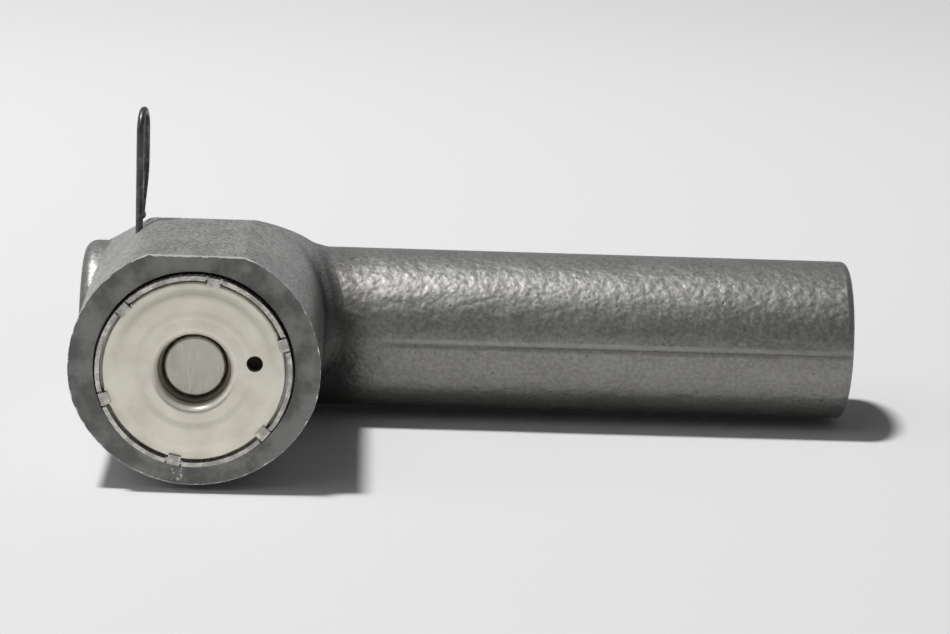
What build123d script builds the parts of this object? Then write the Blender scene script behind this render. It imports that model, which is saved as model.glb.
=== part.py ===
from build123d import *
import math
import os

# Timing belt tensioner: a cast iron body with a front barrel and a long mounting tube across its back.
# A hydraulic cartridge is pressed in the barrel, and a wire pin holds its push rod in.
# Millimetres. X runs along the mounting tube, -Y points out of the barrel's face, and Z is up.
# The origin is on the mounting tube's axis, straight behind the push rod.

# Cast body
TUBE_R = 13.75
TUBE_LEFT = 21.9
TUBE_RIGHT = 110.9
TUBE_LEFT_ROUND = 2.2
TUBE_RIGHT_ROUND = 1.2
MOUNT_BORE_R = 5.25
MOUNT_CHAMFER = 0.8
BARREL_WALL = 4.4
TOP_CUT = 1.5
BELLY_DROP = 1.0
BELLY_RUN = 8.0
CREST_DEPTH = 28.0
CREST_ROUND = 8.0
SHOULDER_ANGLE = 45.0
SHOULDER_CUT = 1.9
DRAFT_RISE = 1.6
DRAFT_WIDER = 0.5
DRAFT_LENGTH = 24.0
CAST_FILLET = 3.5
FLASH_PROUD = 0.12
FLASH_HEIGHT = 0.8
FLASH_START = 50.0

# Stepped bore of the barrel
MOUTH_STEP = 0.4
MOUTH_DEPTH = 4.0
PILOT_R = 8.5
PILOT_LENGTH = 12.5
END_WALL = 4.25
PRESS_GAP = 0.02
RUNNING_GAP = 0.03

# Cartridge shell and its front cap
SHELL_WALL = 0.7
SHELL_PROUD = 1.5
CRIMP_COUNT = 6
CRIMP_PHASE = 18.6
CRIMP_WIDTH = 2.7
CRIMP_REACH = 1.2
CRIMP_DEPTH = 0.9
CAP_SINK = 0.5
CAP_THICK = 1.2
CAP_GAP = 0.35
CAP_HOLE_GAP = 0.85
CAP_LIP_ROUND = 1.15
CAP_LIP_DEPTH = 2.4
CAP_BEAD_IN = 9.5
CAP_BEAD_OUT = 12.4
CAP_BEAD_RISE = 0.08
CAP_BEAD_SLOPE = 1.0
VENT_R = 1.3
VENT_AT_R = 9.7
VENT_ANGLE = 9.0

# Push rod, its guide and its seal
ROD_R = 5.0
ROD_EDGE = 0.5
ROD_SINK = 3.1
ROD_TRAVEL = 8.0
SEAL_LENGTH = 5.4
SEAL_CASE_WALL = 0.8
SEAL_LIP_GAP = 0.05
SEAL_LIP_THICK = 1.2
SEAL_LIP_EDGE = 0.4
SEAL_WEB = 1.2
GUIDE_LENGTH = 4.0
BUSH_WALL = 1.2
CLIP_WIRE = 1.0
GARTER_R = 0.55
STOP_GAP = 0.5

# Locking collar and the pin that holds it
COLLAR_GAP = 0.88
COLLAR_SHEET = 1.2
RIM_WIDTH = 2.0
RIM_TO_FLOOR = 1.25
SKIRT_WALL = 1.1
COLLAR_PORT_R = 1.3
COLLAR_PORTS = 4
ROD_CLIP_WIDTH = 0.9
ROD_CLIP_PROUD = 1.6
ROD_GROOVE = 0.6
ROD_TAIL = 2.0
PIN_R = 0.6
PIN_GAP = 0.15
PIN_SIDE = 3.3
PIN_BITE = 2.0
PIN_BEHIND = 0.95
LOOP_CLEAR = 1.0
LOOP_HEIGHT = 18.7
LOOP_WIDTH = 8.4
LOOP_TURN = 4.0
LOOP_TAIL = 2.6
LOOP_CREST = 0.1
TAIL_BEND = 0.9

# Pressure cylinder, plunger and check valve
FLANGE_WIDTH = 1.92
FLANGE_GAP = 0.5
FLANGE_THICK = 1.4
WASHER_THICK = 0.5
CYLINDER_WALL = 2.5
CYLINDER_END_WALL = 1.5
ORING_R = 0.9
ORING_BEHIND = 3.5
PLUNGER_SKIRT = 2.5
PLUNGER_FRONT_WALL = 2.0
FEED_R = 0.9
SEAT_WALL = 1.5
SEAT_STEP = 0.7
SEAT_THICK = 2.2
SEAT_HOLE_R = 1.2
BALL_R = 1.6
BALL_GAP = 0.03
CAGE_SHEET = 0.4
CAGE_R = 2.7
CAGE_LENGTH = 4.8
CAGE_TO_FLOOR = 1.18
CAGE_WINDOW_R = 0.7
RETURN_WIRE_R = 0.8
RETURN_COIL_GAP = 0.5
RETURN_SPACE = 8.1
RETURN_TURNS = 3
BALL_WIRE_R = 0.14
BALL_COIL_R = 1.15
BALL_TURNS = 3
SPRING_GAP = 0.05

# How far a cut runs past the surface it opens, and how near an edge must lie to a stated place
CUT_OVER = 1.0
FOUND_WITHIN = 0.01

# Places that follow from the sizes above, as distances behind the barrel's face
RIM_S = -SHELL_PROUD
CAP_FRONT = RIM_S + CAP_SINK
CAP_BACK = CAP_FRONT + CAP_THICK
ROD_FRONT = CAP_FRONT + ROD_SINK
SEAL_BACK = CAP_BACK + SEAL_LENGTH
GUIDE_BACK = SEAL_BACK + GUIDE_LENGTH
WEB_FRONT = GUIDE_BACK + ROD_TRAVEL + STOP_GAP
WEB_BACK = WEB_FRONT + COLLAR_SHEET
ROD_BACK = WEB_BACK + ROD_CLIP_WIDTH + ROD_TAIL
FLANGE_FRONT = WEB_BACK + RETURN_SPACE
FLANGE_BACK = FLANGE_FRONT + FLANGE_THICK
SHELL_FLOOR = FLANGE_BACK + WASHER_THICK
BORE_DEPTH = SHELL_FLOOR + SHELL_WALL
COLLAR_RIM_BACK = SHELL_FLOOR - RIM_TO_FLOOR
COLLAR_RIM_FRONT = COLLAR_RIM_BACK - COLLAR_SHEET
PIN_DEPTH = COLLAR_RIM_FRONT - PIN_BEHIND - PIN_R
PILOT_DEPTH = BORE_DEPTH + PILOT_LENGTH
CYLINDER_END = PILOT_DEPTH - PRESS_GAP
CYLINDER_FLOOR = CYLINDER_END - CYLINDER_END_WALL
ORING_AT = BORE_DEPTH + ORING_BEHIND
CAGE_BACK = CYLINDER_FLOOR - CAGE_TO_FLOOR
SEAT_FACE = CAGE_BACK - CAGE_LENGTH
PLUNGER_END = SEAT_FACE + PLUNGER_SKIRT
BALL_AT = SEAT_FACE + math.sqrt((BALL_R + BALL_GAP) ** 2 - SEAT_HOLE_R ** 2)
FACE_TO_MOUNT = PILOT_DEPTH + END_WALL + MOUNT_BORE_R

# Radii that follow, from the pilot bore outwards, and heights over the push rod's axis
CYLINDER_R = PILOT_R - PRESS_GAP
CYLINDER_BORE_R = PILOT_R - CYLINDER_WALL
PLUNGER_R = CYLINDER_BORE_R - RUNNING_GAP
SEAT_R = CYLINDER_BORE_R - SEAT_WALL
RESERVOIR_R = SEAT_R - SEAT_STEP
FLANGE_R = CYLINDER_R + FLANGE_WIDTH
RETURN_COIL_R = FLANGE_R - RETURN_COIL_GAP - RETURN_WIRE_R
SKIRT_R = FLANGE_R + FLANGE_GAP + SKIRT_WALL
COLLAR_R = SKIRT_R + RIM_WIDTH
SHELL_IN_R = COLLAR_R + COLLAR_GAP
SHELL_R = SHELL_IN_R + SHELL_WALL
BORE_R = SHELL_R + PRESS_GAP
MOUTH_R = BORE_R + MOUTH_STEP
BARREL_R = BORE_R + BARREL_WALL
CAP_R = SHELL_IN_R - CAP_GAP
CAP_HOLE_R = ROD_R + CAP_HOLE_GAP
ROD_CLIP_R = ROD_R + ROD_CLIP_PROUD
AXIS_RISE = BARREL_R - TUBE_R - BELLY_DROP
TOP_FLAT = BARREL_R - TOP_CUT
PIN_X = PIN_SIDE - COLLAR_R
PIN_TIP = math.sqrt(COLLAR_R ** 2 - PIN_X ** 2) - PIN_BITE
LOOP_BASE = math.sqrt(BARREL_R ** 2 - PIN_X ** 2) + LOOP_CLEAR
LOOP_TOP = LOOP_BASE + LOOP_HEIGHT

BARREL_AXIS = Axis((0, 0, AXIS_RISE), (0, 1, 0))


def place(depth, height=0.0, x=0.0):
    """Point at a depth behind the barrel's face and a height over the push rod's axis."""
    return (x, depth - FACE_TO_MOUNT, AXIS_RISE + height)


def turned(points):
    """Solid turned about the push rod's axis from points of (depth behind the face, radius)."""
    outline = make_face(Polyline(*points, close=True))
    profile = Plane.YZ * Pos(-FACE_TO_MOUNT, AXIS_RISE) * outline
    return revolve(profile, axis=BARREL_AXIS)


def ring(start, end, outer, inner):
    """Plain ring about the push rod's axis."""
    return turned([(start, inner), (end, inner), (end, outer), (start, outer)])


def disc(start, end, radius):
    """Plain disc about the push rod's axis."""
    return turned([(start, 0), (end, 0), (end, radius), (start, radius)])


def circle_edges(part, depth, radius):
    """Round edges of a turned part at one depth and radius."""
    found = part.edges().filter_by(GeomType.CIRCLE)
    at_depth = [e for e in found if abs(e.arc_center.Y - place(depth)[1]) < FOUND_WITHIN]
    return [e for e in at_depth if abs(e.radius - radius) < FOUND_WITHIN]


def coil(start, end, coil_r, wire_r, turns):
    """Coil spring about the push rod's axis, its outer ends at the two depths."""
    rise = end - start - 2 * wire_r
    path = Helix(rise / turns, rise, coil_r)
    section = Plane(path @ 0, z_dir=path % 0) * Circle(wire_r)
    wound = sweep(section, path=path, is_frenet=True)
    return Location(place(start + wire_r), (-90, 0, 0)) * wound


def across(outline):
    """Solid of an outline of (depth behind the face, height over the rod's axis), wider than the barrel."""
    face = make_face(Polyline(*outline, close=True))
    return extrude(Plane.YZ * Pos(-FACE_TO_MOUNT, AXIS_RISE) * face, 2 * BARREL_R, both=True)


def side_slab():
    """Side outline of the barrel: a flat top, and slopes above and below that run out to the tube."""
    flat_z = AXIS_RISE + TOP_FLAT
    crest_y = CREST_DEPTH - FACE_TO_MOUNT
    reach = math.hypot(crest_y, flat_z)
    slope = math.atan2(flat_z, -crest_y) - math.asin(TUBE_R / reach)
    slab = across([
        (0, -BARREL_R - BELLY_DROP),
        (0, TOP_FLAT),
        (CREST_DEPTH, TOP_FLAT),
        (FACE_TO_MOUNT + TUBE_R * math.sin(slope), TUBE_R * math.cos(slope) - AXIS_RISE),
        (FACE_TO_MOUNT, -AXIS_RISE),
        (FACE_TO_MOUNT, -TUBE_R - AXIS_RISE),
        (FACE_TO_MOUNT - BELLY_RUN, -BARREL_R - BELLY_DROP),
    ])
    crest = [e for e in slab.edges() if abs(e.center().Y - crest_y) < FOUND_WITHIN]
    return fillet([e for e in crest if abs(e.center().Z - flat_z) < FOUND_WITHIN], CREST_ROUND)


def along_tube(x, piece):
    """Piece turned from Z to lie along the mounting tube, its middle at x."""
    return Pos(x, 0, 0) * Rot(0, 90, 0) * piece


def mounting_tube():
    """Long cast tube along X with rounded ends."""
    length = TUBE_LEFT + TUBE_RIGHT
    tube = along_tube((TUBE_RIGHT - TUBE_LEFT) / 2, Cylinder(TUBE_R, length))
    tube = fillet(tube.edges().filter_by(GeomType.CIRCLE).sort_by(Axis.X)[-1], TUBE_RIGHT_ROUND)
    return fillet(tube.edges().filter_by(GeomType.CIRCLE).sort_by(Axis.X)[0], TUBE_LEFT_ROUND)


def shoulder_flat():
    """What is missing at the shallow cast flat on the left shoulder, which deepens to the rear."""
    rear = FACE_TO_MOUNT + TUBE_R
    over = across([
        (0, BARREL_R),
        (rear, BARREL_R - SHOULDER_CUT),
        (rear, 2 * BARREL_R),
        (0, 2 * BARREL_R),
    ])
    return over.rotate(BARREL_AXIS, -SHOULDER_ANGLE)


def casting():
    """Barrel and tube run through each other, blended on the right, then trimmed to the barrel's form."""
    tube = mounting_tube()
    cross = disc(0, FACE_TO_MOUNT + BARREL_R, BARREL_R) + tube
    curved = [e for e in cross.edges() if e.geom_type not in (GeomType.CIRCLE, GeomType.LINE)]
    cross = fillet([e for e in curved if e.center().X > 0], CAST_FILLET)
    return cross & (side_slab() - shoulder_flat() + tube)


def lower_draft():
    """What is missing round the face's lower edge, where the mould draws the barrel in."""
    lean = math.degrees(math.atan2(DRAFT_RISE, DRAFT_LENGTH))
    inside = Cylinder(BARREL_R + DRAFT_WIDER, 4 * BARREL_R)
    inside = Location(place(DRAFT_LENGTH), (90 - lean, 0, 0)) * inside
    return disc(-CUT_OVER, DRAFT_LENGTH, 2 * BARREL_R) - inside


def parting_flash():
    """Low line that the two halves of the mould leave along both sides of the tube."""
    length = TUBE_RIGHT - TUBE_RIGHT_ROUND - FLASH_START
    return Pos(FLASH_START + length / 2, 0, 0) * Box(length, 2 * (TUBE_R + FLASH_PROUD), FLASH_HEIGHT)


def pin_way(low, high):
    """Drilled way of the lock pin between two heights over the push rod's axis."""
    at = place(PIN_DEPTH, (low + high) / 2, PIN_X)
    return Pos(at) * Cylinder(PIN_R + PIN_GAP, high - low)


def mount_bore():
    """Through bore of the mounting tube with a chamfer at each end."""
    half = MOUNT_CHAMFER / 2
    wide = MOUNT_BORE_R + MOUNT_CHAMFER
    bore = along_tube(0, Cylinder(MOUNT_BORE_R, 4 * TUBE_RIGHT))
    left = along_tube(half - TUBE_LEFT, Cone(wide, MOUNT_BORE_R, MOUNT_CHAMFER))
    right = along_tube(TUBE_RIGHT - half, Cone(MOUNT_BORE_R, wide, MOUNT_CHAMFER))
    return bore + left + right


def housing():
    """One-piece cast iron body with its machined bores."""
    body = casting() - lower_draft() + parting_flash()
    body = body - disc(-CUT_OVER, MOUTH_DEPTH, MOUTH_R)
    body = body - disc(0, BORE_DEPTH, BORE_R)
    body = body - disc(BORE_DEPTH - CUT_OVER, PILOT_DEPTH, PILOT_R)
    body = body - mount_bore()
    return body - pin_way(0, 2 * BARREL_R)


def around(count, phase, radius, depth, piece):
    """Copies of a piece spaced evenly about the push rod's axis, the first at the phase angle."""
    copies = []
    for k in range(count):
        angle = phase + 360 * k / count
        turn = Location(place(depth), (0, -angle, 0))
        copies.append(turn * Pos(radius, 0, 0) * piece)
    return copies


def cartridge_shell():
    """Deep drawn shell whose rim is staked inwards over the cap at evenly spaced places."""
    shell = turned([
        (RIM_S, SHELL_IN_R),
        (RIM_S, SHELL_R),
        (BORE_DEPTH, SHELL_R),
        (BORE_DEPTH, PILOT_R),
        (SHELL_FLOOR, PILOT_R),
        (SHELL_FLOOR, SHELL_IN_R),
    ])
    notch = Box(4 * SHELL_WALL, 2 * CRIMP_DEPTH, CRIMP_WIDTH)
    tab_thick = CAP_SINK - PRESS_GAP
    tab = Box(CRIMP_REACH, tab_thick, CRIMP_WIDTH - 2 * CAP_GAP)
    foot = Box(SHELL_WALL, CRIMP_DEPTH + tab_thick, CRIMP_WIDTH - 2 * CAP_GAP)
    shell = shell - around(CRIMP_COUNT, CRIMP_PHASE, SHELL_R, RIM_S, notch)
    tab_r = SHELL_R - CRIMP_REACH / 2 - SHELL_WALL / 2
    shell = shell + around(CRIMP_COUNT, CRIMP_PHASE, tab_r, RIM_S + tab_thick / 2, tab)
    foot_r = SHELL_IN_R + SHELL_WALL / 2 - PRESS_GAP
    shell = shell + around(CRIMP_COUNT, CRIMP_PHASE, foot_r, RIM_S + (CRIMP_DEPTH + tab_thick) / 2, foot)
    return shell - pin_way(0, 2 * BARREL_R)


def end_cap():
    """Stamped steel cap: raised ring bead, hole rolled inwards to a lip, and a small vent hole."""
    mouth_r = CAP_HOLE_R + CAP_LIP_ROUND
    lip_end = CAP_FRONT + CAP_LIP_DEPTH
    bead_s = CAP_FRONT - CAP_BEAD_RISE
    cap = turned([
        (CAP_FRONT, CAP_HOLE_R),
        (CAP_FRONT, CAP_BEAD_IN - CAP_BEAD_SLOPE),
        (bead_s, CAP_BEAD_IN),
        (bead_s, CAP_BEAD_OUT),
        (CAP_FRONT, CAP_BEAD_OUT + CAP_BEAD_SLOPE),
        (CAP_FRONT, CAP_R),
        (CAP_BACK, CAP_R),
        (CAP_BACK, mouth_r),
        (lip_end, mouth_r),
        (lip_end, CAP_HOLE_R),
    ])
    cap = fillet(circle_edges(cap, CAP_FRONT, CAP_HOLE_R), CAP_LIP_ROUND)
    cap = fillet(circle_edges(cap, CAP_FRONT, CAP_R), CAP_GAP)
    vent = Rot(90, 0, 0) * Cylinder(VENT_R, 4 * CAP_THICK)
    return cap - around(1, VENT_ANGLE, VENT_AT_R, CAP_BACK, vent)


def push_rod():
    """Steel rod with a rounded nose, and a groove behind the collar for its clip."""
    groove_r = ROD_R - ROD_GROOVE
    rod = turned([
        (ROD_FRONT, 0),
        (ROD_FRONT, ROD_R),
        (WEB_BACK, ROD_R),
        (WEB_BACK, groove_r),
        (WEB_BACK + ROD_CLIP_WIDTH, groove_r),
        (WEB_BACK + ROD_CLIP_WIDTH, ROD_R),
        (ROD_BACK, ROD_R),
        (ROD_BACK, 0),
    ])
    return fillet(circle_edges(rod, ROD_FRONT, ROD_R), ROD_EDGE)


def rod_clip():
    """Flat spring ring in the rod's groove, split on one side."""
    clip = ring(WEB_BACK, WEB_BACK + ROD_CLIP_WIDTH, ROD_CLIP_R, ROD_R - ROD_GROOVE + PRESS_GAP)
    gap = Box(2 * ROD_R, 4 * ROD_CLIP_WIDTH, 2 * ROD_R - 2 * ROD_GROOVE)
    return clip - around(1, 90, ROD_R, WEB_BACK, gap)


def seal_case():
    """Steel ring that backs the cap and carries the rubber rod seal."""
    outer = SHELL_IN_R - PRESS_GAP
    return turned([
        (CAP_BACK, outer - SEAL_CASE_WALL),
        (CAP_BACK, outer),
        (SEAL_BACK, outer),
        (SEAL_BACK, (outer + ROD_R) / 2),
        (SEAL_BACK - SEAL_CASE_WALL, (outer + ROD_R) / 2),
        (SEAL_BACK - SEAL_CASE_WALL, outer - SEAL_CASE_WALL),
    ])


def oil_seal():
    """Rubber seal in its case, with a lip that runs on the push rod."""
    outer = SHELL_IN_R - PRESS_GAP - SEAL_CASE_WALL - PRESS_GAP
    back = SEAL_BACK - SEAL_CASE_WALL
    web_front = back - SEAL_WEB
    lip_r = ROD_R + SEAL_LIP_GAP
    lip_front = CAP_FRONT + CAP_LIP_DEPTH + SEAL_LIP_EDGE
    return turned([
        (CAP_BACK + SEAL_LIP_EDGE, outer - SEAL_WEB),
        (CAP_BACK + SEAL_LIP_EDGE, outer),
        (back, outer),
        (back, lip_r + SEAL_LIP_EDGE),
        (back - SEAL_WEB, lip_r),
        (lip_front, lip_r + SEAL_LIP_EDGE),
        (lip_front, lip_r + SEAL_LIP_THICK),
        (web_front - SEAL_LIP_EDGE, lip_r + SEAL_LIP_THICK),
        (web_front, lip_r + 2 * SEAL_LIP_THICK),
        (web_front, outer - SEAL_WEB),
    ])


def garter_spring():
    """Closed ring spring that presses the seal's lip on the rod."""
    centre_r = ROD_R + SEAL_LIP_GAP + SEAL_LIP_THICK + PRESS_GAP + GARTER_R
    middle = CAP_FRONT + CAP_LIP_DEPTH + SEAL_LIP_EDGE + GARTER_R
    return Location(place(middle), (90, 0, 0)) * Torus(centre_r, GARTER_R)


def rod_guide():
    """Steel ring pressed in the shell behind the seal, with slots for the oil."""
    inner = ROD_R + RUNNING_GAP + BUSH_WALL + PRESS_GAP
    return ring(SEAL_BACK, GUIDE_BACK, SHELL_IN_R - PRESS_GAP, inner)


def guide_bush():
    """Bronze bush in which the rod slides."""
    inner = ROD_R + RUNNING_GAP
    return ring(SEAL_BACK, GUIDE_BACK, inner + BUSH_WALL, inner)


def guide_clip():
    """Wire ring behind the guide, sprung into the shell."""
    centre_r = SHELL_IN_R - PRESS_GAP - CLIP_WIRE / 2
    return Location(place(GUIDE_BACK + CLIP_WIRE / 2), (90, 0, 0)) * Torus(centre_r, CLIP_WIRE / 2)


def lock_collar():
    """Flanged steel cup on the rod: the pin stops its rim, and the spring pushes in it."""
    collar = turned([
        (WEB_FRONT, ROD_R + PRESS_GAP),
        (WEB_FRONT, SKIRT_R),
        (COLLAR_RIM_FRONT, SKIRT_R),
        (COLLAR_RIM_FRONT, COLLAR_R),
        (COLLAR_RIM_BACK, COLLAR_R),
        (COLLAR_RIM_BACK, SKIRT_R - SKIRT_WALL),
        (WEB_BACK, SKIRT_R - SKIRT_WALL),
        (WEB_BACK, ROD_R + PRESS_GAP),
    ])
    collar = fillet(circle_edges(collar, WEB_FRONT, SKIRT_R), COLLAR_SHEET)
    port = Rot(90, 0, 0) * Cylinder(COLLAR_PORT_R, 4 * COLLAR_SHEET)
    port_r = (ROD_CLIP_R + SKIRT_R - SKIRT_WALL) / 2
    return collar - around(COLLAR_PORTS, 45, port_r, WEB_FRONT, port)


def return_spring():
    """Coil spring between the pressure cylinder's flange and the collar."""
    start = WEB_BACK + SPRING_GAP
    return coil(start, FLANGE_FRONT - SPRING_GAP, RETURN_COIL_R, RETURN_WIRE_R, RETURN_TURNS)


def pressure_cylinder():
    """Closed steel cylinder with a flange at its mouth and a groove for its rubber ring."""
    groove_r = CYLINDER_R - 2 * ORING_R
    return turned([
        (FLANGE_FRONT, CYLINDER_BORE_R),
        (FLANGE_FRONT, FLANGE_R),
        (FLANGE_BACK, FLANGE_R),
        (FLANGE_BACK, CYLINDER_R),
        (ORING_AT - ORING_R - PRESS_GAP, CYLINDER_R),
        (ORING_AT - ORING_R - PRESS_GAP, groove_r),
        (ORING_AT + ORING_R + PRESS_GAP, groove_r),
        (ORING_AT + ORING_R + PRESS_GAP, CYLINDER_R),
        (CYLINDER_END, CYLINDER_R),
        (CYLINDER_END, 0),
        (CYLINDER_FLOOR, 0),
        (CYLINDER_FLOOR, CYLINDER_BORE_R),
    ])


def cylinder_o_ring():
    """Rubber ring between the cylinder and the casting's pilot bore."""
    centre_r = PILOT_R - ORING_R - PRESS_GAP
    return Location(place(ORING_AT), (90, 0, 0)) * Torus(centre_r, ORING_R)


def cylinder_washer():
    """Soft washer between the cylinder's flange and the shell's floor."""
    return ring(FLANGE_BACK, SHELL_FLOOR, FLANGE_R, CYLINDER_R + PRESS_GAP)


def plunger():
    """Hollow steel plunger: oil enters by two side holes and leaves through the valve at its back."""
    front = ROD_BACK + PRESS_GAP
    body = turned([
        (front, 0),
        (front, PLUNGER_R),
        (PLUNGER_END, PLUNGER_R),
        (PLUNGER_END, SEAT_R),
        (SEAT_FACE - SEAT_THICK, SEAT_R),
        (SEAT_FACE - SEAT_THICK, RESERVOIR_R),
        (front + PLUNGER_FRONT_WALL, RESERVOIR_R),
        (front + PLUNGER_FRONT_WALL, 0),
    ])
    feed = Cylinder(FEED_R, 3 * PLUNGER_R)
    return body - around(1, 90, 0, front + PLUNGER_FRONT_WALL + 2 * FEED_R, feed)


def valve_seat():
    """Hardened seat pressed in the plunger's end."""
    return ring(SEAT_FACE - SEAT_THICK, SEAT_FACE, SEAT_R - PRESS_GAP, SEAT_HOLE_R)


def check_ball():
    """Steel ball of the check valve, closed on its seat."""
    return Pos(place(BALL_AT)) * Sphere(BALL_R)


def ball_cage():
    """Stamped cage with four windows that keeps the ball and its spring at the seat."""
    cage = turned([
        (SEAT_FACE, CAGE_R - CAGE_SHEET),
        (SEAT_FACE, SEAT_R - PRESS_GAP),
        (SEAT_FACE + CAGE_SHEET, SEAT_R - PRESS_GAP),
        (SEAT_FACE + CAGE_SHEET, CAGE_R),
        (CAGE_BACK, CAGE_R),
        (CAGE_BACK, 0),
        (CAGE_BACK - CAGE_SHEET, 0),
        (CAGE_BACK - CAGE_SHEET, CAGE_R - CAGE_SHEET),
    ])
    middle = (SEAT_FACE + CAGE_BACK) / 2
    hole = Cylinder(CAGE_WINDOW_R, 4 * CAGE_R)
    return cage - (around(1, 0, 0, middle, hole) + around(1, 90, 0, middle, hole))


def ball_spring():
    """Light coil spring behind the ball."""
    lean = math.sqrt((BALL_R + SPRING_GAP) ** 2 - (BALL_COIL_R - BALL_WIRE_R) ** 2)
    return coil(BALL_AT + lean, CAGE_BACK - CAGE_SHEET - SPRING_GAP, BALL_COIL_R, BALL_WIRE_R, BALL_TURNS)


def lock_pin():
    """Spring wire pin: a straight stem, then a tall narrow pull loop that comes back to the stem."""
    away = (math.sin(math.radians(LOOP_TURN)), math.cos(math.radians(LOOP_TURN)))

    def at(out, height):
        x = PIN_X + out * away[0]
        y = PIN_DEPTH - FACE_TO_MOUNT + out * away[1]
        return (x, y, AXIS_RISE + height)

    back = LOOP_WIDTH - 2 * PIN_R
    top = LOOP_TOP - PIN_R
    foot = LOOP_BASE + PIN_R
    top_bend = (back - LOOP_CREST) / 2
    return_at = 2 * PIN_R + PIN_GAP
    path = FilletPolyline(
        at(0, PIN_TIP),
        at(0, top),
        at(back, top),
        at(back, (top - top_bend + foot) / 2),
        at(return_at, foot),
        at(return_at + LOOP_TAIL, foot),
        radius=[top_bend, top_bend, back, TAIL_BEND],
    )
    section = Plane(path @ 0, z_dir=path % 0) * Circle(PIN_R)
    return sweep(section, path=path)


PIECES = {
    "housing": housing,
    "cartridge_shell": cartridge_shell,
    "end_cap": end_cap,
    "push_rod": push_rod,
    "rod_clip": rod_clip,
    "seal_case": seal_case,
    "oil_seal": oil_seal,
    "garter_spring": garter_spring,
    "rod_guide": rod_guide,
    "guide_bush": guide_bush,
    "guide_clip": guide_clip,
    "lock_collar": lock_collar,
    "return_spring": return_spring,
    "pressure_cylinder": pressure_cylinder,
    "cylinder_o_ring": cylinder_o_ring,
    "cylinder_washer": cylinder_washer,
    "plunger": plunger,
    "valve_seat": valve_seat,
    "check_ball": check_ball,
    "ball_cage": ball_cage,
    "ball_spring": ball_spring,
    "lock_pin": lock_pin,
}

os.makedirs("parts", exist_ok=True)
for name, build in PIECES.items():
    export_step(build(), "parts/" + name + ".step")
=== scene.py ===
import math

import bpy
from mathutils import Matrix, Vector


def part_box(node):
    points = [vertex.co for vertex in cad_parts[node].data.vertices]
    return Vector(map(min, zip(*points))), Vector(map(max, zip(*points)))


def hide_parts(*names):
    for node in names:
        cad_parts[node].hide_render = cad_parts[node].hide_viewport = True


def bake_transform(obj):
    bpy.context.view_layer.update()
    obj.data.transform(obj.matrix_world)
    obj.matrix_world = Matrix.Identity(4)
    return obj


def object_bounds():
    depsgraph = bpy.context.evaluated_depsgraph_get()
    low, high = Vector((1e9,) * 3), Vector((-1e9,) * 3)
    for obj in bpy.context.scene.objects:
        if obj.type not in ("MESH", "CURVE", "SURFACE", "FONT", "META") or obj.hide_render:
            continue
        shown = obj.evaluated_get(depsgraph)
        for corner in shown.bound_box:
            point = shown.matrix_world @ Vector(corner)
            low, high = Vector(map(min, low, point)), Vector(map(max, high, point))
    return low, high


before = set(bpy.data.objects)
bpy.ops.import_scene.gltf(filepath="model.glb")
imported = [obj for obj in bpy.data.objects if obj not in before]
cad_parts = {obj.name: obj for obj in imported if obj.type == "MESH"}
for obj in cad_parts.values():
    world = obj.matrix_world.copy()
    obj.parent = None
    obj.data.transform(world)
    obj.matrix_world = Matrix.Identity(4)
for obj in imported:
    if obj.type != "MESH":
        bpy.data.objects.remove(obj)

cad_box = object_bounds()

# Camera: it stands half a metre in front of the barrel's open face and a little over it,
# and looks almost straight into the cylinder, so that the tube runs off to the right.
housing_low, housing_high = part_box("housing")
cap_low, cap_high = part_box("end_cap")
FACE_Y = housing_low.y
AXIS_Z = (cap_low.z + cap_high.z) / 2
FACE_CENTRE = Vector((0.0, FACE_Y, AXIS_Z))
DISTANCE = 0.5
LOOK_DOWN = math.radians(14.0)
LOOK_ASIDE = math.radians(2.2)
ROLL = math.radians(2.2)
FACE_LEFT = 0.04439
FACE_BELOW = 0.00837
FOCAL_MM = 119.9
SENSOR_MM = 36.0
NEAREST = 0.01
FARTHEST = 20.0

gaze = Vector((
    math.sin(LOOK_ASIDE) * math.cos(LOOK_DOWN),
    math.cos(LOOK_ASIDE) * math.cos(LOOK_DOWN),
    -math.sin(LOOK_DOWN),
))
level_right = Vector((math.cos(LOOK_ASIDE), -math.sin(LOOK_ASIDE), 0.0))
level_up = level_right.cross(gaze)
picture_right = math.cos(ROLL) * level_right + math.sin(ROLL) * level_up
picture_up = math.cos(ROLL) * level_up - math.sin(ROLL) * level_right
eye = FACE_CENTRE + FACE_LEFT * picture_right + FACE_BELOW * picture_up - DISTANCE * gaze

bpy.ops.object.camera_add()
camera = bpy.context.object
camera.name = "bench_camera"
camera.data.lens = FOCAL_MM
camera.data.sensor_width = SENSOR_MM
camera.data.clip_start = NEAREST
camera.data.clip_end = FARTHEST
turn = Matrix((picture_right, picture_up, -gaze)).transposed().to_4x4()
camera.matrix_world = Matrix.Translation(eye) @ turn
bpy.context.scene.camera = camera
bpy.context.scene.view_settings.view_transform = "Standard"

# Light: a round lamp high over the bench and a little to the left throws a soft-edged shadow to the
# right. A lamp in front over the camera, a window on the left and the dim room soften it. Glossy metal
# sees a room that is brighter behind the part than in front of it.
LAMP_HEIGHT = 1.5
LAMP_WIDTH = 0.20
LAMP_WATTS = 21.9
LAMP_LEFT = math.radians(18.5)
LAMP_FORWARD = math.radians(3.0)
FRONT_PLACE = Vector((-0.35, -0.60, 0.90))
FRONT_WIDTH = 0.5
FRONT_WATTS = 0.55
WINDOW_PLACE = Vector((-1.3, -0.25, 0.55))
WINDOW_WIDTH = 0.8
WINDOW_WATTS = 2.5
ROOM_COLOUR = (0.96, 0.98, 1.0, 1.0)
ROOM_STRENGTH = 0.095
SHEEN_TURN = (-0.2, 0.8)
SHEEN_FRONT = 0.15
SHEEN_BACK = 0.42
PART_MIDDLE = Vector((0.03, -0.02, 0.0))


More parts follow.
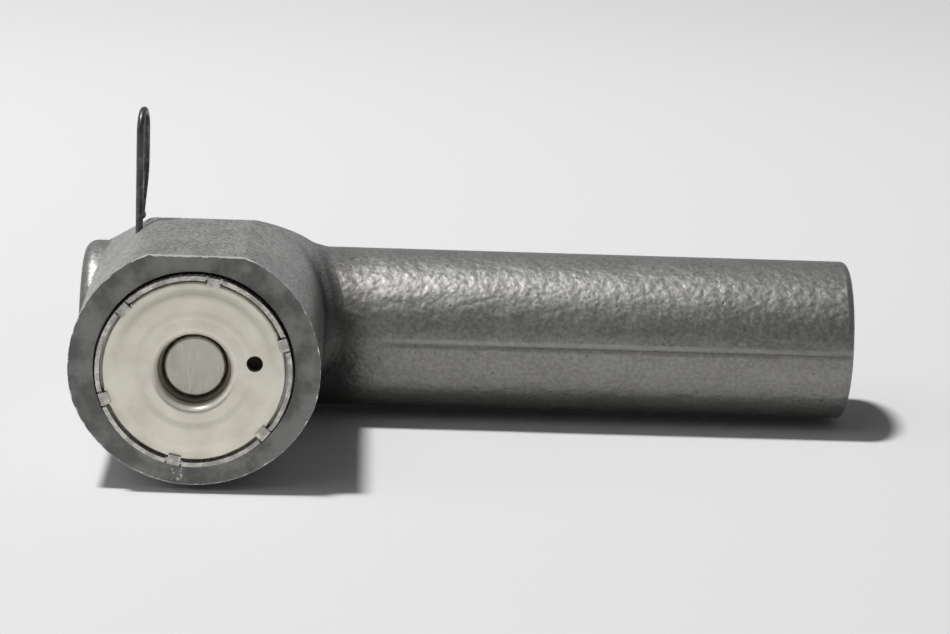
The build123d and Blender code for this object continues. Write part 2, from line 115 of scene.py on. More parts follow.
def hang_lamp(name, place, width, watts, shape):
    """An area lamp that points at the part."""
    bpy.ops.object.light_add(type="AREA", location=place)
    lamp = bpy.context.object
    lamp.name = name
    lamp.data.shape = shape
    lamp.data.size = width
    lamp.data.energy = watts
    lamp.rotation_euler = (place - PART_MIDDLE).to_track_quat("Z", "Y").to_euler()


def plug(tree, socket, value):
    """Sets a socket, or links it where the value is a socket itself."""
    if isinstance(value, bpy.types.NodeSocket):
        tree.links.new(value, socket)
    else:
        socket.default_value = value


def add_node(tree, kind, inputs=None, **settings):
    """Adds a node, sets its properties, and sets or links the inputs named by socket."""
    made = tree.nodes.new(kind)
    for name, value in settings.items():
        setattr(made, name, value)
    for name, value in (inputs or {}).items():
        plug(tree, made.inputs[name], value)
    return made


def calc(tree, operation, *values, clamp=False):
    """Output of a Math node on numbers or sockets."""
    made = add_node(tree, "ShaderNodeMath", operation=operation, use_clamp=clamp)
    for socket, value in zip(made.inputs, values):
        plug(tree, socket, value)
    return made.outputs[0]


def ease(tree, value, low, high, out_low=0.0, out_high=1.0):
    """Smooth step of a value from one range to another."""
    made = add_node(tree, "ShaderNodeMapRange", {
        "Value": value, "From Min": low, "From Max": high, "To Min": out_low, "To Max": out_high,
    }, interpolation_type="SMOOTHSTEP")
    return made.outputs["Result"]


def parts(tree, vector):
    """x, y and z of a vector."""
    return add_node(tree, "ShaderNodeSeparateXYZ", {"Vector": vector}).outputs


lamp_place = PART_MIDDLE + LAMP_HEIGHT * Vector((-math.tan(LAMP_LEFT), -math.tan(LAMP_FORWARD), 1.0))
hang_lamp("bench_lamp", lamp_place, LAMP_WIDTH, LAMP_WATTS, "DISK")
hang_lamp("front_lamp", FRONT_PLACE, FRONT_WIDTH, FRONT_WATTS, "SQUARE")
hang_lamp("side_window", WINDOW_PLACE, WINDOW_WIDTH, WINDOW_WATTS, "SQUARE")

room = bpy.data.worlds.new("dim_room")
room.use_nodes = True
bpy.context.scene.world = room
tree = room.node_tree
room_depth = parts(tree, add_node(tree, "ShaderNodeTexCoord").outputs["Generated"])["Y"]
sheen = ease(tree, room_depth, *SHEEN_TURN, SHEEN_FRONT, SHEEN_BACK)
in_sheen = add_node(tree, "ShaderNodeLightPath").outputs["Is Glossy Ray"]
extra = calc(tree, "SUBTRACT", sheen, ROOM_STRENGTH)
strength = calc(tree, "MULTIPLY_ADD", extra, in_sheen, ROOM_STRENGTH)
tree.nodes["Background"].inputs["Color"].default_value = ROOM_COLOUR
tree.links.new(strength, tree.nodes["Background"].inputs["Strength"])


# Bench: a wide sheet of matt white paper. The part lies on it on the barrel's belly, so the paper is
# level with the casting's lowest point. Painted shade: the paper is greyer in front of the part than
# far from it, as the light falls off.
PAPER_HALF_WIDTH = 3.0
PAPER_NEAR_SHADED = (0.79, 0.79, 0.79, 1.0)
PAPER_FAR_LIT = (0.94, 0.94, 0.94, 1.0)
PALER_BEHIND = (-0.15, 0.40)
PALER_BEFORE = (-0.25, -0.70)
PAPER_ROUGHNESS = 0.9
PAPER_SPECULAR = 0.1


def new_material(name):
    """An empty material: itself, its node tree and its Principled shader."""
    material = bpy.data.materials.new(name)
    material.use_nodes = True
    return material, material.node_tree, material.node_tree.nodes["Principled BSDF"]


def object_place(tree):
    """Place on the object, as a vector."""
    return add_node(tree, "ShaderNodeTexCoord").outputs["Object"]


def largest(tree, first, *others):
    """Largest of some numbers or sockets."""
    for other in others:
        first = calc(tree, "MAXIMUM", first, other)
    return first


def blend(tree, share, first, second):
    """Mix of two colours."""
    made = add_node(tree, "ShaderNodeMix", data_type="RGBA")
    for index, value in ((0, share), (6, first), (7, second)):
        plug(tree, made.inputs[index], value)
    return made.outputs[2]


bpy.ops.object.select_all(action="DESELECT")
bpy.ops.mesh.primitive_plane_add(size=2 * PAPER_HALF_WIDTH, location=(0, 0, cad_box[0].z))
paper = bpy.context.object
paper.name = "bench_paper"
white_paper, tree, shader = new_material("white_paper")
paper_y = parts(tree, object_place(tree))["Y"]
# Painted shade: the paper is greyer just in front of the part and paler far from it.
painted_paper_light = largest(tree, ease(tree, paper_y, *PALER_BEHIND), ease(tree, paper_y, *PALER_BEFORE))
tree.links.new(blend(tree, painted_paper_light, PAPER_NEAR_SHADED, PAPER_FAR_LIT), shader.inputs["Base Color"])
shader.inputs["Roughness"].default_value = PAPER_ROUGHNESS
shader.inputs["Specular IOR Level"].default_value = PAPER_SPECULAR
paper.data.materials.append(white_paper)


# Housing: barrel and mounting tube in one grey iron casting, shot blasted and left bare. The skin
# is grainy on the barrel and like orange peel on the tube, the barrel's face and all the bores are
# machined, and handling has nicked the face's rim bright.
SKIM = 0.00005
BARREL_RADIUS = 0.020
TOP_FLAT_Z = housing_high.z
DRAFT_RADIUS = 0.0205
DRAFT_Z = 0.00685
SEAM_Z = 0.0008
WIDE_BORE = (0.01605, -0.02195)
PILOT_BORE = (0.00865, -0.00945)
TUBE_ENDS_X = (housing_low.x + SKIM, housing_high.x - SKIM)
MOUNT_BORE_RADIUS = 0.0061
SKIN_GREY = (0.320, 0.314, 0.302, 1.0)
SKIN_DARK = (0.140, 0.137, 0.131, 1.0)
SKIN_LIGHT = (0.400, 0.395, 0.384, 1.0)
PAINTED_SHADE_GREY = (0.060, 0.058, 0.055, 1.0)
PAINTED_LIGHT_GREY = (0.620, 0.615, 0.600, 1.0)
CUT_GREY = (0.250, 0.248, 0.240, 1.0)
CUT_DARK = (0.135, 0.134, 0.129, 1.0)
BRIGHT_NICK = (0.80, 0.79, 0.76, 1.0)


def times(tree, first, *others):
    """Product of some numbers or sockets."""
    for other in others:
        first = calc(tree, "MULTIPLY", first, other)
    return first


def rest_of(tree, share):
    """What a share of 0 to 1 leaves."""
    return calc(tree, "SUBTRACT", 1.0, share)


def away(tree, value, middle):
    """Distance of a value from a middle."""
    return calc(tree, "ABSOLUTE", calc(tree, "SUBTRACT", value, middle))


def distance(tree, first, second):
    """Length of a vector with two parts."""
    return calc(tree, "SQRT", calc(tree, "MULTIPLY_ADD", first, first, times(tree, second, second)))


def noise(tree, position, scale, detail=2.0, roughness=0.5):
    """Value of a Noise texture at a position."""
    made = add_node(tree, "ShaderNodeTexNoise", {
        "Vector": position, "Scale": scale, "Detail": detail, "Roughness": roughness,
    })
    return made.outputs["Fac"]


def new_group(name, inputs, outputs):
    """A node group with named inputs, vectors where the default is None, and number outputs."""
    tree = bpy.data.node_groups.new(name, "ShaderNodeTree")
    for label, value in inputs.items():
        kind = "NodeSocketVector" if value is None else "NodeSocketFloat"
        socket = tree.interface.new_socket(label, in_out="INPUT", socket_type=kind)
        if value is not None:
            socket.default_value = value
    for label in outputs:
        tree.interface.new_socket(label, in_out="OUTPUT", socket_type="NodeSocketFloat")
    return tree, tree.nodes.new("NodeGroupInput").outputs, tree.nodes.new("NodeGroupOutput").inputs


def use_group(tree, group, **inputs):
    """Places a group in a material with its own values, and returns its outputs."""
    made = add_node(tree, "ShaderNodeGroup", node_tree=group)
    for name, value in inputs.items():
        plug(tree, made.inputs[name], value)
    return made.outputs


def rod_radius(tree, x, z):
    """Distance from the push rod's axis."""
    return distance(tree, x, calc(tree, "SUBTRACT", z, AXIS_Z))


def in_cylinder(tree, radius, y, bore):
    """Whether a place is inside a bore's radius and in front of its bottom."""
    return times(tree, calc(tree, "LESS_THAN", radius, bore[0]), calc(tree, "LESS_THAN", y, bore[1]))


def bump(tree, height, depth):
    """Normal bumped by a height of 0 to 1 over a depth in metres."""
    return add_node(tree, "ShaderNodeBump", {"Height": height, "Distance": depth}).outputs["Normal"]


def finish(tree, shader, colour, roughness, normal, metal=1.0):
    """Gives a shader the colour, roughness, normal and share of metal of a finish."""
    looks = {"Base Color": colour, "Roughness": roughness, "Normal": normal, "Metallic": metal}
    for label, value in looks.items():
        plug(tree, shader.inputs[label], value)


def dress(node, material):
    """Gives a CAD node its material."""
    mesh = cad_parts[node].data
    mesh.materials.clear()
    mesh.materials.append(material)


# Sand and blasting leave the casting's skin in three scales: slow waves, orange peel about two
# millimetres across, and grain of two thirds of a millimetre, with small pits.
WAVES_PER_METRE = 160.0
PEELS_PER_METRE = 580.0
GRAINS_PER_METRE = 1550.0
PITS_PER_METRE = 620.0
PIT_PATCHES_PER_METRE = 330.0
PIT_PATCHES = (0.5, 0.75)
PIT_SIZES = (0.02, 0.30)
PIT_STEEPNESS = 6.0
PIT_DEPTH = -0.25
WAVE_HEIGHT = 0.6
GRAIN_IN_TONE = 0.75

cast_skin, given, out = new_group(
    "cast_skin", {"Position": None, "Peel": 1.0, "Grain": 1.0}, ["Height", "Tone", "Pits"]
)
position = given["Position"]
peel = noise(cast_skin, position, PEELS_PER_METRE, detail=1.5, roughness=0.45)
grain = noise(cast_skin, position, GRAINS_PER_METRE, roughness=0.62)
waves = noise(cast_skin, position, WAVES_PER_METRE)
cells = add_node(cast_skin, "ShaderNodeTexVoronoi", {"Vector": position, "Scale": PITS_PER_METRE})
patches = noise(cast_skin, position, PIT_PATCHES_PER_METRE, detail=1.0)
pit_size = ease(cast_skin, patches, *PIT_PATCHES, *PIT_SIZES)
pits = calc(cast_skin, "SUBTRACT", pit_size, cells.outputs["Distance"])
pits = calc(cast_skin, "MULTIPLY", pits, PIT_STEEPNESS, clamp=True)
height = times(cast_skin, peel, given["Peel"])
height = calc(cast_skin, "MULTIPLY_ADD", grain, given["Grain"], height)
height = calc(cast_skin, "MULTIPLY_ADD", waves, WAVE_HEIGHT, height)
height = calc(cast_skin, "MULTIPLY_ADD", pits, PIT_DEPTH, height)
tone = times(cast_skin, waves, 1.0 - GRAIN_IN_TONE)
tone = calc(cast_skin, "MULTIPLY_ADD", grain, GRAIN_IN_TONE, tone)
for label, socket in (("Height", height), ("Tone", tone), ("Pits", pits)):
    cast_skin.links.new(socket, out[label])

# Turning leaves fine rings about the rod's axis, broken up by cloudy stains.
FACE_RINGS_PER_METRE = 9000.0
STAINS_PER_METRE = 170.0

turned_face, given, out = new_group(
    "turned_face", {"Position": None, "Radius": 0.0, "Rings": FACE_RINGS_PER_METRE}, ["Height", "Stain"]
)
ring_noise = add_node(turned_face, "ShaderNodeTexNoise", {
    "W": times(turned_face, given["Radius"], given["Rings"]), "Scale": 1.0, "Detail": 2.0,
}, noise_dimensions="1D")
stain = noise(turned_face, given["Position"], STAINS_PER_METRE, detail=4.0, roughness=0.62)
turned_face.links.new(ring_noise.outputs["Fac"], out["Height"])
turned_face.links.new(stain, out["Stain"])

# Machined places are the barrel's face, its stepped bore, the tube's ends and the mounting bore. The
# tube, the stub and the back that joins them have peeled skin, and the rest is grainy.
TUBE_SKIN_X = (0.020, 0.030)
STUB_SKIN_X = (-0.0195, -0.0205)
STUB_SHARE = 0.5
BACK_RADIUS = (0.0148, 0.0139)
PEEL_HEIGHTS = (0.30, 1.55)
GRAIN_HEIGHTS = (1.90, 0.30)

grey_iron, tree, shader = new_material("bare_grey_iron")
place = object_place(tree)
x, y, z = parts(tree, place)
radius = rod_radius(tree, x, z)
tube_radius = distance(tree, y, z)
on_face = calc(tree, "LESS_THAN", y, FACE_Y + SKIM)
machined = largest(
    tree,
    on_face,
    in_cylinder(tree, radius, y, WIDE_BORE),
    in_cylinder(tree, radius, y, PILOT_BORE),
    calc(tree, "LESS_THAN", x, TUBE_ENDS_X[0]),
    calc(tree, "GREATER_THAN", x, TUBE_ENDS_X[1]),
    calc(tree, "LESS_THAN", tube_radius, MOUNT_BORE_RADIUS),
)
cast = rest_of(tree, machined)
on_tube = largest(
    tree,
    ease(tree, x, *TUBE_SKIN_X),
    ease(tree, x, *STUB_SKIN_X, 0.0, STUB_SHARE),
    ease(tree, tube_radius, *BACK_RADIUS),
)
on_barrel = rest_of(tree, on_tube)
peel_height = ease(tree, on_tube, 0.0, 1.0, *PEEL_HEIGHTS)
grain_height = ease(tree, on_tube, 0.0, 1.0, *GRAIN_HEIGHTS)
skin = use_group(tree, cast_skin, Position=place, Peel=peel_height, Grain=grain_height)
face = use_group(tree, turned_face, Position=place, Radius=radius)

# Colour of the skin: dark and light grains, bright specks where blasting has cut it that are partly
# painted glints, the barrel's shoulders painted lighter as painted light, and a painted highlight along
# the parting line's ridge.
TONE_SPLIT = (0.38, 0.62)
EVEN_SHARES = (0.25, 0.65)
SPARKS_PER_METRE = 3100.0
SPARK_SPLIT = (0.60, 0.72)
SPARK_SHARE = 0.6
PIT_SHARE = 0.6
SHOULDER_X = (0.0060, 0.0130)
SHOULDER_Z = (0.0080, 0.0150)
SHOULDER_SHARE = 0.42
SEAM_X = (0.024, 0.036)
RIDGE_Z = SEAM_Z + 0.0003
RIDGE_FADE = (0.0001, 0.0006, 0.85, 0.0)

light_grain = ease(tree, skin["Tone"], *TONE_SPLIT)
skin_colour = blend(tree, light_grain, SKIN_DARK, SKIN_LIGHT)
skin_colour = blend(tree, ease(tree, on_tube, 0.0, 1.0, *EVEN_SHARES), skin_colour, SKIN_GREY)
# Bright specks on the barrel: partly cut metal, partly painted glints.
painted_glints = ease(tree, noise(tree, place, SPARKS_PER_METRE, detail=1.0), *SPARK_SPLIT)
skin_colour = blend(tree, times(tree, painted_glints, on_barrel, SPARK_SHARE), skin_colour, PAINTED_LIGHT_GREY)
skin_colour = blend(tree, times(tree, skin["Pits"], PIT_SHARE), skin_colour, SKIN_DARK)
# Painted light: the barrel's shoulders are painted lighter.
shoulder = times(tree, ease(tree, calc(tree, "ABSOLUTE", x), *SHOULDER_X), ease(tree, z, *SHOULDER_Z))
shoulder_light_colour = blend(tree, light_grain, SKIN_GREY, PAINTED_LIGHT_GREY)
painted_shoulder_light = times(tree, shoulder, on_barrel, SHOULDER_SHARE)
skin_colour = blend(tree, painted_shoulder_light, skin_colour, shoulder_light_colour)
# Painted highlight along the parting line's ridge on the tube's front.
seam = times(tree, ease(tree, x, *SEAM_X), calc(tree, "LESS_THAN", y, 0.0))
painted_seam_highlight = times(tree, seam, ease(tree, away(tree, z, RIDGE_Z), *RIDGE_FADE))
skin_colour = blend(tree, painted_seam_highlight, skin_colour, SKIN_LIGHT)

# Painted shade: darker colour where shade falls, in the corner between barrel and tube and on that side
# of the barrel, along the tube's underside and toward its far end, on the stub's lower part, and in the
# step under the parting line.
CORNER = (0.0215, -0.0160)
CORNER_RAGGED = 0.002
CORNER_FADE = (0.0035, 0.0088, 0.90, 0.0)
LEE_X = (0.0168, 0.0190)
LEE_Y = (0.0050, -0.0080)
LEE_Z = (0.0185, 0.0095)
LEE_FADE = (0.022, 0.030, 0.70, 0.0)
UNDER_Z = (0.0010, -0.0060)
UNDER_SHARE = 0.22
STUB_X = (-0.0180, -0.0200)
STUB_Z = (0.0110, 0.0030)
STUB_SHADE = 0.45
FAR_END_FADE = (0.070, 0.112, 0.0, 0.18)
STEP_Z = SEAM_Z - 0.0006
STEP_FADE = (0.0001, 0.0007, 0.40, 0.0)

corner = distance(tree, calc(tree, "SUBTRACT", x, CORNER[0]), calc(tree, "SUBTRACT", y, CORNER[1]))
corner = calc(tree, "MULTIPLY_ADD", skin["Tone"], CORNER_RAGGED, corner)
shaded_side = times(tree, ease(tree, x, *LEE_X), ease(tree, z, *LEE_Z), ease(tree, y, *LEE_Y))
painted_shade = largest(
    tree,
    ease(tree, corner, *CORNER_FADE),
    times(tree, shaded_side, ease(tree, x, *LEE_FADE)),
    times(tree, ease(tree, z, *UNDER_Z), on_tube, UNDER_SHARE),
    times(tree, ease(tree, x, *STUB_X), ease(tree, z, *STUB_Z), STUB_SHADE),
    ease(tree, x, *FAR_END_FADE),
    times(tree, seam, ease(tree, away(tree, z, STEP_Z), *STEP_FADE)),
)
# Painted shade is blended over the skin colour here.
skin_colour = blend(tree, painted_shade, skin_colour, PAINTED_SHADE_GREY)
cut_colour = blend(tree, ease(tree, face["Stain"], *TONE_SPLIT), CUT_DARK, CUT_GREY)
colour = blend(tree, machined, skin_colour, cut_colour)

# Nicks: thin and broken along the face's rim and its edge, wider along the top flat, and a scuff low
# on the face.
NICKS_PER_METRE = 900.0
NICK_WIDTHS = (0.45, 0.80, 0.00002, 0.00032)
TOP_NICK_WIDTHS = (0.3, 0.6, 0.00010, 0.00028)
TOP_NICK_FADE = (0.0002, 0.0016, 1.0, 0.0)
SCUFF_PLACE = (-0.0021, -0.0117)
SCUFF_FADE = (0.0010, 0.0026, 1.0, 0.0)
SCUFF_SPLIT = (0.55, 0.62)
SCUFF_SHARE = 0.7

nick_noise = noise(tree, place, NICKS_PER_METRE, detail=3.0, roughness=0.6)
top_gap = calc(tree, "SUBTRACT", TOP_FLAT_Z, z)
rim_gap = calc(tree, "SUBTRACT", BARREL_RADIUS, radius)
draft_radius = distance(tree, x, calc(tree, "SUBTRACT", z, DRAFT_Z))
for gap in (calc(tree, "SUBTRACT", DRAFT_RADIUS, draft_radius), top_gap):
    rim_gap = calc(tree, "MINIMUM", rim_gap, gap)
top_width = times(tree, ease(tree, top_gap, *TOP_NICK_FADE), ease(tree, nick_noise, *TOP_NICK_WIDTHS))
nick_width = largest(tree, ease(tree, nick_noise, *NICK_WIDTHS), top_width)
face_nicks = times(tree, on_face, calc(tree, "LESS_THAN", rim_gap, nick_width))
side_nicks = times(tree, cast, calc(tree, "LESS_THAN", calc(tree, "SUBTRACT", y, FACE_Y), nick_width))
scuff_x, scuff_z = SCUFF_PLACE
scuff = distance(tree, calc(tree, "SUBTRACT", x, scuff_x), calc(tree, "SUBTRACT", z, scuff_z))
scuff = times(tree, ease(tree, scuff, *SCUFF_FADE), on_face)
scuff = times(tree, scuff, ease(tree, nick_noise, *SCUFF_SPLIT), SCUFF_SHARE)
colour = blend(tree, largest(tree, face_nicks, side_nicks, scuff), colour, BRIGHT_NICK)

# Bare iron shines as metal on the smooth tube, less where it is cut, and least on the blasted barrel.
IRON_METAL = (0.40, 0.92)
CUT_METAL = 0.6
IRON_ROUGHNESS = (0.36, 0.38)
GRAIN_ROUGHNESS = 0.18
RING_HEIGHT = 0.05
SKIN_DEPTH = 0.00013

metal = largest(tree, ease(tree, on_tube, 0.0, 1.0, *IRON_METAL), times(tree, machined, CUT_METAL))
rough = ease(tree, on_tube, 0.0, 1.0, *IRON_ROUGHNESS)
rough = calc(tree, "MULTIPLY_ADD", skin["Tone"], GRAIN_ROUGHNESS, rough)
rings = times(tree, face["Height"], machined)
height = calc(tree, "MULTIPLY_ADD", rings, RING_HEIGHT, times(tree, skin["Height"], cast))
finish(tree, shader, colour, rough, bump(tree, height, SKIN_DEPTH), metal)
dress("housing", grey_iron)


# Cartridge shell: deep drawn from thin steel sheet, pressed in the barrel, its rim standing a little
# proud and staked inwards over the cap at six places. Drawing leaves fine streaks along it.
SHELL_STEEL = (0.68, 0.66, 0.60, 1.0)
SHELL_SHADE = (0.36, 0.348, 0.322, 1.0)
SHELL_CLOUDS_PER_METRE = 700.0
SHELL_CLOUD_SPLIT = (0.35, 0.7)
STREAKS_PER_METRE = 2600.0
STREAK_STRETCH = (1.0, 0.06, 1.0)
STREAK_DEPTH = 0.00001
SHELL_ROUGHNESS = (0.22, 0.40)
MARK_SPLIT = (0.3, 0.7)


def stretched(tree, position, scale, turn=(0.0, 0.0, 0.0)):
    """A position squeezed along some axes, which draws marks out along them."""
    made = add_node(tree, "ShaderNodeMapping", {"Vector": position, "Rotation": turn, "Scale": scale})
    return made.outputs["Vector"]


drawn_sheet, tree, shader = new_material("drawn_steel_sheet")
place = object_place(tree)
streaks = stretched(tree, place, STREAK_STRETCH)
streak = noise(tree, streaks, STREAKS_PER_METRE, detail=3.0, roughness=0.6)
cloud = noise(tree, place, SHELL_CLOUDS_PER_METRE, detail=3.0, roughness=0.55)
colour = blend(tree, ease(tree, cloud, *SHELL_CLOUD_SPLIT), SHELL_SHADE, SHELL_STEEL)
rough = ease(tree, streak, *MARK_SPLIT, *SHELL_ROUGHNESS)
finish(tree, shader, colour, rough, bump(tree, streak, STREAK_DEPTH))
dress("cartridge_shell", drawn_sheet)


# End cap: stamped from steel sheet and satin zinc plated, with a hole rolled inwards for the rod,
# a shallow ring bead and a small vent hole. It is pale and warm, with faint smudges from fingers,
# painted shade on its upper part and along the bead's edges, and a painted highlight on the rolled
# lip's lower half.
PLATE_PALE = (0.800, 0.764, 0.668, 1.0)
PLATE_SMUDGE_AND_SHADE = (0.720, 0.684, 0.578, 1.0)
PLATE_SHADED = (0.560, 0.530, 0.430, 1.0)
PLATE_SPLIT = (0.38, 0.75)
PLATE_METAL = (0.9, 0.3)
PLATE_ROUGHNESS = (0.32, 0.44)
UPPER_Z = (AXIS_Z - 0.002, AXIS_Z + 0.012)
UPPER_SHADE_SHARE = 0.15
BEAD_EDGES = (0.0093, 0.0124)
BEAD_FADE = (0.0, 0.0009, 1.0, 0.0)
BEAD_SHADE_SHARE = 0.55
LIP_PAINTED_HIGHLIGHT = (0.930, 0.890, 0.790, 1.0)
LIP_RADIUS = 0.0070
LIP_FRONT_Y = FACE_Y - 0.0009
LIP_Z = (AXIS_Z + 0.0015, AXIS_Z - 0.0035)
CAP_RINGS_PER_METRE = 5200.0
CAP_RING_HEIGHT = 0.35
SATIN_PER_METRE = 5200.0
SATIN_DEPTH = 0.000006

satin_plate, tree, shader = new_material("satin_zinc_plate")
place = object_place(tree)
x, y, z = parts(tree, place)
radius = rod_radius(tree, x, z)
face = use_group(tree, turned_face, Position=place, Radius=radius, Rings=CAP_RINGS_PER_METRE)
# Painted shade: the upper part is painted darker and warmer, and the bead's edges darker there.
upper_shade = ease(tree, z, *UPPER_Z)
edges = [ease(tree, away(tree, radius, edge), *BEAD_FADE) for edge in BEAD_EDGES]
bead_shade = times(tree, largest(tree, *edges), upper_shade)
plate = blend(tree, ease(tree, face["Stain"], *PLATE_SPLIT), PLATE_PALE, PLATE_SMUDGE_AND_SHADE)
plate = blend(tree, times(tree, upper_shade, UPPER_SHADE_SHARE), plate, PLATE_SMUDGE_AND_SHADE)
plate = blend(tree, times(tree, bead_shade, BEAD_SHADE_SHARE), plate, PLATE_SHADED)
in_hole = calc(tree, "LESS_THAN", radius, LIP_RADIUS)
in_hole = times(tree, in_hole, calc(tree, "GREATER_THAN", y, LIP_FRONT_Y))
# Painted highlight: the rolled lip's lower half is painted paler.
plate = blend(tree, times(tree, in_hole, ease(tree, z, *LIP_Z)), plate, LIP_PAINTED_HIGHLIGHT)
metal = ease(tree, in_hole, 0.0, 1.0, *PLATE_METAL)
rough = ease(tree, face["Stain"], *MARK_SPLIT, *PLATE_ROUGHNESS)
satin = noise(tree, place, SATIN_PER_METRE, roughness=0.6)
height = calc(tree, "MULTIPLY_ADD", face["Height"], CAP_RING_HEIGHT, satin)
finish(tree, shader, plate, rough, bump(tree, height, SATIN_DEPTH), metal)
dress("end_cap", satin_plate)


# Push rod: hardened steel bar, ground all over. Its flat end carries the fine marks of the
# grinding wheel and a thin brown film of oil.
ROD_STEEL = (0.53, 0.51, 0.44, 1.0)
ROD_FILM = (0.42, 0.40, 0.33, 1.0)
OIL_SPLIT = (0.35, 0.7)
ROD_ROUGHNESS = (0.26, 0.42)
ROD_RINGS_PER_METRE = 7000.0
ROD_RING_HEIGHT = 0.4
SCRATCHES_PER_METRE = 4200.0
SCRATCH_STRETCH = (1.0, 1.0, 0.08)
SCRATCH_TURN = (0.0, 0.6, 0.0)
SCRATCH_DEPTH = 0.000008

ground_steel, tree, shader = new_material("ground_rod_steel")
place = object_place(tree)
x, y, z = parts(tree, place)
radius = rod_radius(tree, x, z)
face = use_group(tree, turned_face, Position=place, Radius=radius, Rings=ROD_RINGS_PER_METRE)
scratches = stretched(tree, place, SCRATCH_STRETCH, SCRATCH_TURN)
scratch = noise(tree, scratches, SCRATCHES_PER_METRE, detail=3.0, roughness=0.6)
colour = blend(tree, ease(tree, face["Stain"], *OIL_SPLIT), ROD_STEEL, ROD_FILM)
rough = ease(tree, scratch, *MARK_SPLIT, *ROD_ROUGHNESS)
height = calc(tree, "MULTIPLY_ADD", face["Height"], ROD_RING_HEIGHT, scratch)
finish(tree, shader, colour, rough, bump(tree, height, SCRATCH_DEPTH))
dress("push_rod", ground_steel)


# Lock pin and wire rings: cold drawn spring wire, dark with oil, with fine die lines. The pin is bent
# into a tall pull loop, and its stem stands in its drilled way in front of the collar's rim. The
# same wire is coiled round the seal's lip and bent into the rings of the guide and the rod.
WIRE_DARK = (0.085, 0.085, 0.080, 1.0)
WIRE_WORN = (0.210, 0.208, 0.198, 1.0)
WIRE_METAL = 0.8
WIRE_ROUGHNESS = (0.25, 0.45)
WEAR_PER_METRE = 600.0
WEAR_SPLIT = (0.45, 0.75)
DIE_LINES_PER_METRE = 5200.0
DIE_LINE_STRETCH = (1.0, 1.0, 0.05)
DIE_LINE_DEPTH = 0.00001

oiled_wire, tree, shader = new_material("oiled_spring_wire")
place = object_place(tree)
die_lines = stretched(tree, place, DIE_LINE_STRETCH)
die_line = noise(tree, die_lines, DIE_LINES_PER_METRE, roughness=0.6)
worn = ease(tree, noise(tree, place, WEAR_PER_METRE, detail=3.0, roughness=0.6), *WEAR_SPLIT)
colour = blend(tree, worn, WIRE_DARK, WIRE_WORN)
rough = ease(tree, die_line, *MARK_SPLIT, *WIRE_ROUGHNESS)
finish(tree, shader, colour, rough, bump(tree, die_line, DIE_LINE_DEPTH), WIRE_METAL)
for node in ("lock_pin", "garter_spring", "guide_clip", "rod_clip"):
    dress(node, oiled_wire)


# Return spring and ball spring: coiled from the same oiled wire. The return spring stands between the
# shell's floor and the collar and pushes the rod out, and the small one holds the check ball on its
# seat.
WELD_GAP = 0.000001
COIL_SMOOTH = math.radians(50)


def live_spring(name, node):
    """A welded, smooth shaded copy of a spring in the oiled wire, which takes the CAD node's place."""
    coil = bpy.data.objects.new(name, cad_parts[node].data.copy())
    bpy.context.scene.collection.objects.link(coil)
    bpy.ops.object.select_all(action="DESELECT")
    coil.select_set(True)
    bpy.context.view_layer.objects.active = coil
    bpy.ops.mesh.customdata_custom_splitnormals_clear()
    bpy.ops.object.mode_set(mode="EDIT")
    bpy.ops.mesh.select_all(action="SELECT")
    bpy.ops.mesh.remove_doubles(threshold=WELD_GAP)
    bpy.ops.object.mode_set(mode="OBJECT")
    bpy.ops.object.shade_smooth_by_angle(angle=COIL_SMOOTH)
    coil.data.materials.clear()
    coil.data.materials.append(oiled_wire)
    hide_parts(node)
    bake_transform(coil)


live_spring("return_spring_coils", "return_spring")
live_spring("ball_spring_coils", "ball_spring")


# Turned and pressed inner pieces: seal case, guide ring, collar, plunger, seat, cage and pressure
# cylinder are plain steel, wet with oil, and hidden by the cap unless the cartridge is cut open.
INNER_STEEL = (0.47, 0.46, 0.44, 1.0)
INNER_OILED = (0.33, 0.32, 0.29, 1.0)
INNER_ROUGHNESS = (0.24, 0.40)
INNER_RINGS_PER_METRE = 6000.0
INNER_RING_DEPTH = 0.00001

turned_steel, tree, shader = new_material("turned_inner_steel")
place = object_place(tree)
x, y, z = parts(tree, place)
along = calc(tree, "ADD", rod_radius(tree, x, z), y)
face = use_group(tree, turned_face, Position=place, Radius=along, Rings=INNER_RINGS_PER_METRE)
colour = blend(tree, ease(tree, face["Stain"], *OIL_SPLIT), INNER_STEEL, INNER_OILED)
rough = ease(tree, face["Height"], *MARK_SPLIT, *INNER_ROUGHNESS)
finish(tree, shader, colour, rough, bump(tree, face["Height"], INNER_RING_DEPTH))
for node in (
    "seal_case", "rod_guide", "lock_collar", "plunger", "valve_seat", "ball_cage", "pressure_cylinder",
):
    dress(node, turned_steel)


# Rubber pieces: the rod seal and the cylinder's ring are moulded in oil-proof rubber, matt black
# with a faint bloom. The rod seal's front, close behind the cap's hole, is painted a pale brown grey as
# painted light in the dark gap round the rod.
RUBBER_BLACK = (0.022, 0.022, 0.022, 1.0)
RUBBER_BLOOM = (0.060, 0.060, 0.058, 1.0)
RUBBER_ROUGHNESS = (0.45, 0.65)
RUBBER_METAL = 0.0
BLOOM_PER_METRE = 700.0
BLOOM_SPLIT = (0.45, 0.8)
MOULD_GRAINS_PER_METRE = 4000.0
MOULD_DEPTH = 0.00001
SEAL_FRONT_PAINTED_LIGHT = (0.260, 0.235, 0.185, 1.0)
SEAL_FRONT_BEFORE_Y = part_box("oil_seal")[1].y + SKIM

seal_rubber, tree, shader = new_material("oil_seal_rubber")
place = object_place(tree)
bloom = noise(tree, place, BLOOM_PER_METRE, detail=3.0, roughness=0.6)
rubber = blend(tree, ease(tree, bloom, *BLOOM_SPLIT), RUBBER_BLACK, RUBBER_BLOOM)
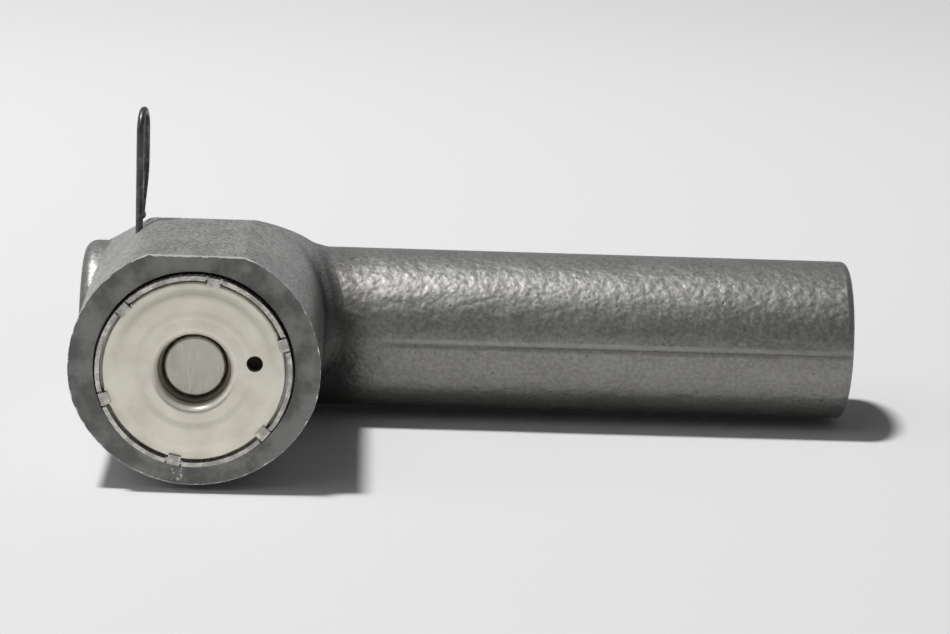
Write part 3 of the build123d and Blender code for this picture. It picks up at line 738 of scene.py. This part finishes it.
# Painted light: the rod seal's front is painted a pale brown grey in the dark gap round the rod.
seal_front_lit = calc(tree, "LESS_THAN", parts(tree, place)["Y"], SEAL_FRONT_BEFORE_Y)
rubber = blend(tree, seal_front_lit, rubber, SEAL_FRONT_PAINTED_LIGHT)
rough = ease(tree, bloom, *MARK_SPLIT, *RUBBER_ROUGHNESS)
mould = bump(tree, noise(tree, place, MOULD_GRAINS_PER_METRE), MOULD_DEPTH)
finish(tree, shader, rubber, rough, mould, RUBBER_METAL)
for node in ("oil_seal", "cylinder_o_ring"):
    dress(node, seal_rubber)


# Guide bush: sintered bronze, finely porous, in which the rod slides. It is pressed in the guide
# ring, and its pores hold oil and look dark.
BRONZE = (0.56, 0.37, 0.17, 1.0)
BRONZE_DARK = (0.34, 0.21, 0.09, 1.0)
BRONZE_ROUGHNESS = (0.5, 0.3)
PORES_PER_METRE = 5200.0
PORE_EDGE = (0.05, 0.25)
PORE_DEPTH = 0.00001

sintered_bronze, tree, shader = new_material("sintered_bronze")
pores = add_node(tree, "ShaderNodeTexVoronoi", {"Vector": object_place(tree), "Scale": PORES_PER_METRE})
pore = ease(tree, pores.outputs["Distance"], *PORE_EDGE)
rough = ease(tree, pore, 0.0, 1.0, *BRONZE_ROUGHNESS)
finish(tree, shader, blend(tree, pore, BRONZE_DARK, BRONZE), rough, bump(tree, pore, PORE_DEPTH))
dress("guide_bush", sintered_bronze)


# Washer and check ball: a soft aluminium washer stamped from sheet, and a polished bearing ball
# with the odd polishing hair line.
SOFT_METAL = (0.66, 0.66, 0.65, 1.0)
SOFT_DULL = (0.48, 0.48, 0.47, 1.0)
SOFT_ROUGHNESS = (0.35, 0.5)
DULL_PER_METRE = 500.0
DULL_SPLIT = (0.35, 0.7)
DULL_DEPTH = 0.00001
BALL_STEEL = (0.62, 0.62, 0.62, 1.0)
BALL_HAIR = (0.50, 0.50, 0.50, 1.0)
BALL_ROUGHNESS = (0.06, 0.14)
HAIRS_PER_METRE = 6000.0
HAIR_STRETCH = (1.0, 0.05, 1.0)
HAIR_SPLIT = (0.6, 0.8)
HAIR_DEPTH = 0.000002

soft_sheet, tree, shader = new_material("soft_washer_sheet")
dull = noise(tree, object_place(tree), DULL_PER_METRE, detail=4.0, roughness=0.6)
colour = blend(tree, ease(tree, dull, *DULL_SPLIT), SOFT_METAL, SOFT_DULL)
rough = ease(tree, dull, *MARK_SPLIT, *SOFT_ROUGHNESS)
finish(tree, shader, colour, rough, bump(tree, dull, DULL_DEPTH))
dress("cylinder_washer", soft_sheet)

ball_steel, tree, shader = new_material("polished_ball_steel")
hairs = stretched(tree, object_place(tree), HAIR_STRETCH)
hair = noise(tree, hairs, HAIRS_PER_METRE)
colour = blend(tree, ease(tree, hair, *HAIR_SPLIT), BALL_STEEL, BALL_HAIR)
rough = ease(tree, hair, *MARK_SPLIT, *BALL_ROUGHNESS)
finish(tree, shader, colour, rough, bump(tree, hair, HAIR_DEPTH))
dress("check_ball", ball_steel)
